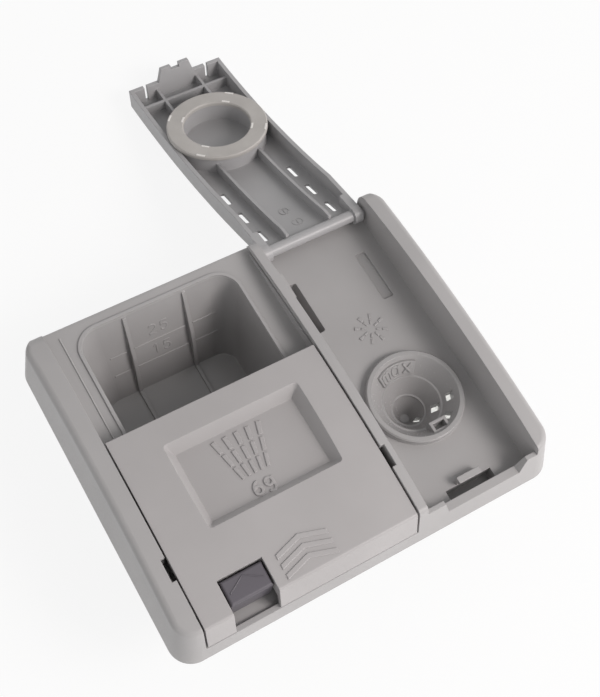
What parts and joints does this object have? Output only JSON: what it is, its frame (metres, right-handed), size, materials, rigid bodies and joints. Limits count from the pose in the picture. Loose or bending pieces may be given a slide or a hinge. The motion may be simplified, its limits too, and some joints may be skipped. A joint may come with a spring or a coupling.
{
  "type": "dishwasher detergent dispenser",
  "caption": "Flared dispenser for a dishwasher's inner door: detergent chamber under a sliding lid, strainer filler for rinse aid under a hinged flap, with tank and magnets behind.",
  "frame": {"origin": "centre of the fixing-screw pattern on the flange seat, which bears on the inner door", "axes": "+X across the face towards the rinse-aid side, +Y along the rails towards the flap hinge, +Z out of the face"},
  "size_m": [0.1744, 0.2681, 0.058],
  "materials": {
    "housing_polypropylene": "fine satin moulded grey",
    "lid_polypropylene": "fine satin moulded grey",
    "button_plastic": "dark grey satin",
    "seal_rubber": "soft matt light grey",
    "gasket_rubber": "matt black",
    "tank_polyethylene": "milky translucent",
    "carrier_plastic": "satin dark grey",
    "magnet_steel": "zinc plated",
    "coil_bobbin": "wound and taped",
    "contact_brass": "tinned",
    "spring_steel": "drawn wire"
  },
  "bodies": {
    "base": {"housing": "housing_polypropylene", "filler_cup": "housing_polypropylene", "rinse_tank": "tank_polyethylene", "tank_seal": "gasket_rubber", "flange_gasket": "gasket_rubber", "actuator_carrier": "carrier_plastic", "lever_pin": "magnet_steel", "latch_yoke": "magnet_steel", "latch_coil": "coil_bobbin", "valve_yoke": "magnet_steel", "valve_coil": "coil_bobbin", "coil_terminals": "contact_brass", "carrier_screws": "magnet_steel", "tank_screws": "magnet_steel", "yoke_screws": "magnet_steel", "latch_spring": "spring_steel", "valve_spring": "spring_steel"},
    "lid": {"detergent_lid": "lid_polypropylene", "button_spring": "spring_steel"},
    "button": {"release_button": "button_plastic"},
    "flap": {"rinse_flap": "lid_polypropylene", "flap_seal": "seal_rubber"},
    "latch": {"latch_plunger": "magnet_steel"},
    "lever": {"latch_lever": "carrier_plastic"},
    "valve": {"valve_plunger": "magnet_steel", "valve_head": "gasket_rubber"}
  },
  "joints": [
    {"name": "lid_slide", "type": "hinge", "parent": "base", "child": "lid", "pos_m": [0, -0.0088, -0.483], "axis": [-1, 0, 0], "range_deg": [0, 6.1]},
    {"name": "button_press", "type": "slide", "parent": "lid", "child": "button", "axis": [0, 0, -1], "range_m": [0, 0.002], "stiffness_N_per_m": 400, "springref_m": -0.001, "deforming": ["button_spring"]},
    {"name": "flap_hinge", "type": "hinge", "parent": "base", "child": "flap", "pos_m": [0.05005, 0.0639, 0.0098], "axis": [1, 0, 0], "range_deg": [0, 195]},
    {"name": "latch_slide", "type": "slide", "parent": "base", "child": "latch", "axis": [1, 0, 0], "range_m": [0, 0.0016], "stiffness_N_per_m": 300, "springref_m": -0.001, "deforming": ["latch_spring"]},
    {"name": "lever_turn", "type": "hinge", "parent": "base", "child": "lever", "pos_m": [-0.03, -0.0262, -0.0032], "axis": [0, -1, 0], "range_deg": [0, 14.4]},
    {"name": "valve_slide", "type": "slide", "parent": "base", "child": "valve", "axis": [1, 0, 0], "range_m": [0, 0.0025], "stiffness_N_per_m": 300, "springref_m": -0.001, "deforming": ["valve_spring"]}
  ],
  "couplings": [
    {"joint": "lever_turn", "follows": "latch_slide", "rad_per_m": 156.25}
  ]
}
